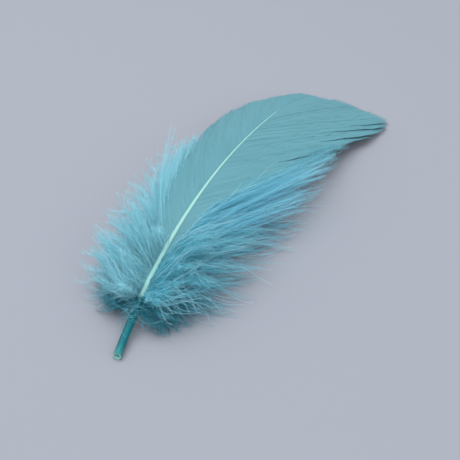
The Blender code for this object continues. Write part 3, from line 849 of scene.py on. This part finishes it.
downShape = {
    "golden": 0.6180339887, "lockTurn": 10.0, "lockStray": 0.2, "fullest": 1.6,  # as the solids' locks
    "sag": 7.0, "sweep": 0.24, "clear": 11 * mm,
    "under": 1.6 * mm, "underFade": 10 * mm, "underRest": 0.35,
    "points": 14, "shares": (0.60, 1.10), "rootSpread": 1.5 * mm, "angleSpread": 12.0, "climbSpread": 11.0,
    "leastRoot": 27, "mostTurn": 134,
    "swaySpeeds": (2.5, 7), "swaySpread": 0.7, "curl": 3.0 * mm, "curlUp": 0.7,
    "wisps": 0.4, "wispStray": 1.5, "wispCurl": 1.4, "wispCurlTo": 45 * mm,  # wisps are strands left bare
    "wispRadius": 1.4, "wispTone": (0.3, 2.5), "wispFluff": 0.10,
    "coverFade": 5 * mm, "coverBetween": (50 * mm, 62 * mm), "coverGap": 0.9 * mm,
    "leastHeight": 0.4 * mm, "heightStray": 1.2 * mm, "floorEase": 2 * mm * mm,
    "stemRadius": 0.078 * mm, "thinning": 0.7, "fluffy": 9, "fluffFrom": 0.5,
    "reach": (0.55, 0.5, 0.1), "reachCurve": 0.8,
    "spacing": 0.15 * mm, "barbule": 3.4 * mm, "spread": 1.05, "seed": 31,
}


def lockStrands(shape, firstLock, rng):
    # A row for each strand: root, turn, length, climb, whether it is a wisp, and how it sways both ways.
    rows = []
    golden, (slow, fast) = shape["golden"], shape["swaySpeeds"]
    for step in range(shape["locks"]):
        number = firstLock + step
        share = step / (shape["locks"] - 1)
        jitter = (number * golden) % 1 - 0.5
        other = (number * golden * golden * 3) % 1 - 0.5
        root = between(shape["roots"], share) * mm
        angle = between(shape["angles"], share) + shape["lockTurn"] * jitter
        fullness = math.sin(math.pi * share / shape["fullest"]) * (1 + shape["lockStray"] * jitter)
        length = between(shape["lengths"], fullness) * mm
        lift = shape["climb"] + shape["stray"] * other
        # The strands of one lock sway together, and its wisps stray further.
        sway = rng.uniform((slow, 0, slow, 0), (fast, fullTurn, fast, fullTurn))
        for strand in range(shape["strands"]):
            wisp = rng.uniform() < shape["wisps"]
            stray = shape["wispStray"] if wisp else 1.0
            rows.append((root + rng.normal(0, 1) * shape["rootSpread"],
                         angle + rng.normal(0, 1) * shape["angleSpread"] * stray,
                         length * rng.uniform(*shape["shares"]),
                         lift + rng.normal(0, 1) * shape["climbSpread"] * (stray + 1) / 2, wisp,
                         *(sway + rng.normal(0, 1, 4) * shape["swaySpread"])))
    return np.array(rows)


def underVane(place, s, width, vane):
    # Strands rooted under the satin stay below it. Gives their points, and how far each one is inside.
    fade = smoothStep(0, downShape["coverFade"], width - outlineAt(vane["satin"], s))
    inside = (1 - fade) * smoothStep(*downShape["coverBetween"], s)
    cover = vaneSurface(s, width, vane)[0][..., 2] - downShape["coverGap"]
    place[..., 2] -= inside * np.maximum(place[..., 2] - cover, 0)
    return place, inside


def makeDown(group, firstLock, tree, barbules, material):
    shape = {**downShape, **group}
    rng = np.random.default_rng(shape["seed"] + firstLock)
    rows = lockStrands(shape, firstLock, rng)
    root, turn, length, lift, wisp = (rows[:, k:k + 1] for k in range(5))
    # Roots stop short of the bare quill, and only the hairs over it lean far back along it.
    root = np.maximum(root, shape["leastRoot"] * mm)
    turn = np.radians(np.where(turn > shape["mostTurn"], 2 * shape["mostTurn"] - turn, turn))
    lift, wisp = np.radians(lift), wisp > 0
    run = np.linspace(0, 1, shape["points"])[None]
    reach = length * run
    point, forward = along(axisPoints, root), along(axisForward, root)
    right, up = along(axisRight, root), along(axisUp, root)
    away = forward * np.cos(turn)[..., None] + right * shape["side"] * np.sin(turn)[..., None]
    place = point + away * reach[..., None] * np.cos(lift)[..., None]
    place = place + up * (np.sin(lift) * reach)[..., None]
    place = place + forward * (shape["sweep"] * length * run * run)[..., None]
    under = shape["under"] * np.clip((root - vaneZone["first"]) / shape["underFade"], 0, 1)
    under = under * np.maximum(1 - reach / shape["clear"], shape["underRest"] * (1 - run))
    place = place - up * under[..., None]
    for way, size, column in ((np.cross(away, up), 1.0, 5), (up, shape["curlUp"], 7)):
        speed, phase = rows[:, column:column + 1], rows[:, column + 1:column + 2]
        bend = shape["curl"] * size * run * (np.sin(run * speed + phase) - np.sin(phase) * (1 - run))
        bend = bend * np.where(wisp & (root < shape["wispCurlTo"]), shape["wispCurl"], 1.0)
        place = place + way * bend[..., None]
    place[..., 2] -= shape["sag"] * reach * reach
    s = root + ((place - point) * forward).sum(-1)
    width = shape["side"] * ((place - point) * right).sum(-1)
    place, inside = underVane(place, s, width, vaneRight if shape["side"] > 0 else vaneLeft)
    low = shape["leastHeight"] + shape["heightStray"] * rng.uniform(0, 1, (len(rows), 1))
    over = place[..., 2] - low
    place[..., 2] = low + (over + np.sqrt(over * over + shape["floorEase"])) / 2
    thin = shape["thinning"] * run
    darkest, paler = shape["wispTone"]
    fluff = np.clip(run * shape["fluffy"] - shape["fluffFrom"], 0, 1) * (1 - inside)
    first, swell, drop = shape["reach"]
    swelling = np.sin(math.pi * run ** shape["reachCurve"])
    lines = lineMesh(shape["name"], place, {
        "halfWidth": shape["stemRadius"] * np.where(wisp, shape["wispRadius"] - thin, 1 - thin),
        "share": np.where(wisp, np.minimum(darkest + paler * run, 1.0), run),
        "shade": np.broadcast_to(rng.uniform(0, 1, (len(rows), 1)), reach.shape),
        "fluff": fluff * np.where(wisp, shape["wispFluff"], 1.0),
        "reach": (first + swell * swelling - drop * run) * np.ones_like(reach)})
    growDown(lines, tree, shape, barbules, material)
    print(lines.name, len(rows), "strands,", len(lines.data.polygons), "faces")
    return lines


# Room and camera
room = {
    "floorFinish": {"Base Color": (0.34, 0.355, 0.395), "Roughness": 0.9, "Specular IOR Level": 0.2},
    "floorSize": 4.0,
    "world": {"Color": (0.80, 0.84, 0.92), "Strength": 0.75},
    "lightSize": 0.9,
    "lights": {"keyLight": ((-0.20, 0.00, 0.95), 7.5), "fillLight": ((0.7, -0.5, 0.6), 2.2)},  # place, watts
}
viewFrom = {"azimuth": 24.4575, "elevation": 42.0, "distance": 0.4083, "fieldOfView": 26.0,
            "target": (8.53 * mm, -17.59 * mm, 6 * mm)}


def makeFloor():
    size = room["floorSize"] / 2
    mesh = bpy.data.meshes.new("floor")
    corners = [(-size, -size, 0), (size, -size, 0), (size, size, 0), (-size, size, 0)]
    mesh.from_pydata(corners, [], [(0, 1, 2, 3)])
    mesh.materials.append(newMaterial("paleFloor", room["floorFinish"])[0])
    addObject("floor", mesh)


def lightRoom():
    world = bpy.data.worlds.new("softRoom")
    world.use_nodes = True
    feed(world.node_tree, world.node_tree.nodes["Background"], room["world"])
    bpy.context.scene.world = world
    for name, (place, power) in room["lights"].items():
        lamp = bpy.data.lights.new(name, "AREA")
        lamp.shape = "SQUARE"
        lamp.size = room["lightSize"]
        lamp.energy = power
        light = addObject(name, lamp)
        light.location = place
        light.rotation_euler = (-Vector(place)).to_track_quat("-Z", "Y").to_euler()


def placeCamera():
    turn, up = math.radians(viewFrom["azimuth"]), math.radians(viewFrom["elevation"])
    back = Vector((math.sin(turn) * math.cos(up), -math.cos(turn) * math.cos(up), math.sin(up)))
    data = bpy.data.cameras.new("camera")
    data.sensor_fit = "HORIZONTAL"
    data.angle = math.radians(viewFrom["fieldOfView"])
    data.clip_start = 0.01
    camera = addObject("camera", data)
    camera.location = Vector(viewFrom["target"]) + back * viewFrom["distance"]
    camera.rotation_euler = (-back).to_track_quat("-Z", "Y").to_euler()
    bpy.context.scene.camera = camera


def wear(piece):
    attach(piece, "root")
    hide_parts("feather")


makeFloor()
lightRoom()
placeCamera()
bpy.context.scene.view_settings.view_transform = "Standard"
print("room, lights and camera")

dye = dyeGroup()
webDye, quillDye = vaneMaterial(dye), quillMaterial(dye)
# The down's three materials are lit and shaded copies: painted light on the left, painted shade on the right
# and at the base.
litAndShadedDowns = {part: downMaterial(dye, part + "Down", part) for part in ("left", "right", "base")}
webTree, fluffTree = barbTree(), downTree()
barbules = [barbuleShape("straightBarbule", 0.030, 0.0), barbuleShape("curledBarbule", 0.026, 0.20),
            barbuleShape("hookedBarbule", 0.026, -0.22)]
print("materials and trees")

shaft = makeShaft(quillDye)
wear(shaft)
print("shaft", len(shaft.data.polygons), "faces")
for vane in (vaneRight, vaneLeft):
    # On the left vane these loose ends carry the left down's painted light; on the right vane, the fringe's
    # own blue dye.
    looseDyeAndPaintedLight = downMaterial(dye, vane["name"] + "Loose", vane["fringe"], vane["fringeTurn"])
    rng = np.random.default_rng(vane["seed"])
    web, roots, walk = makeWeb(vane, rng, webTree, webDye)
    fringe = makeFringe(vane, rng, roots, walk, fluffTree, barbules, looseDyeAndPaintedLight)
    wear(web)
    wear(fringe)
lockCount = 0
for group in downLocks:
    tuft = makeDown(group, lockCount, fluffTree, barbules, litAndShadedDowns[group["dye"]])
    lockCount += group["locks"]
    wear(tuft)
for barbule in barbules:
    bpy.data.objects.remove(barbule, do_unlink=True)
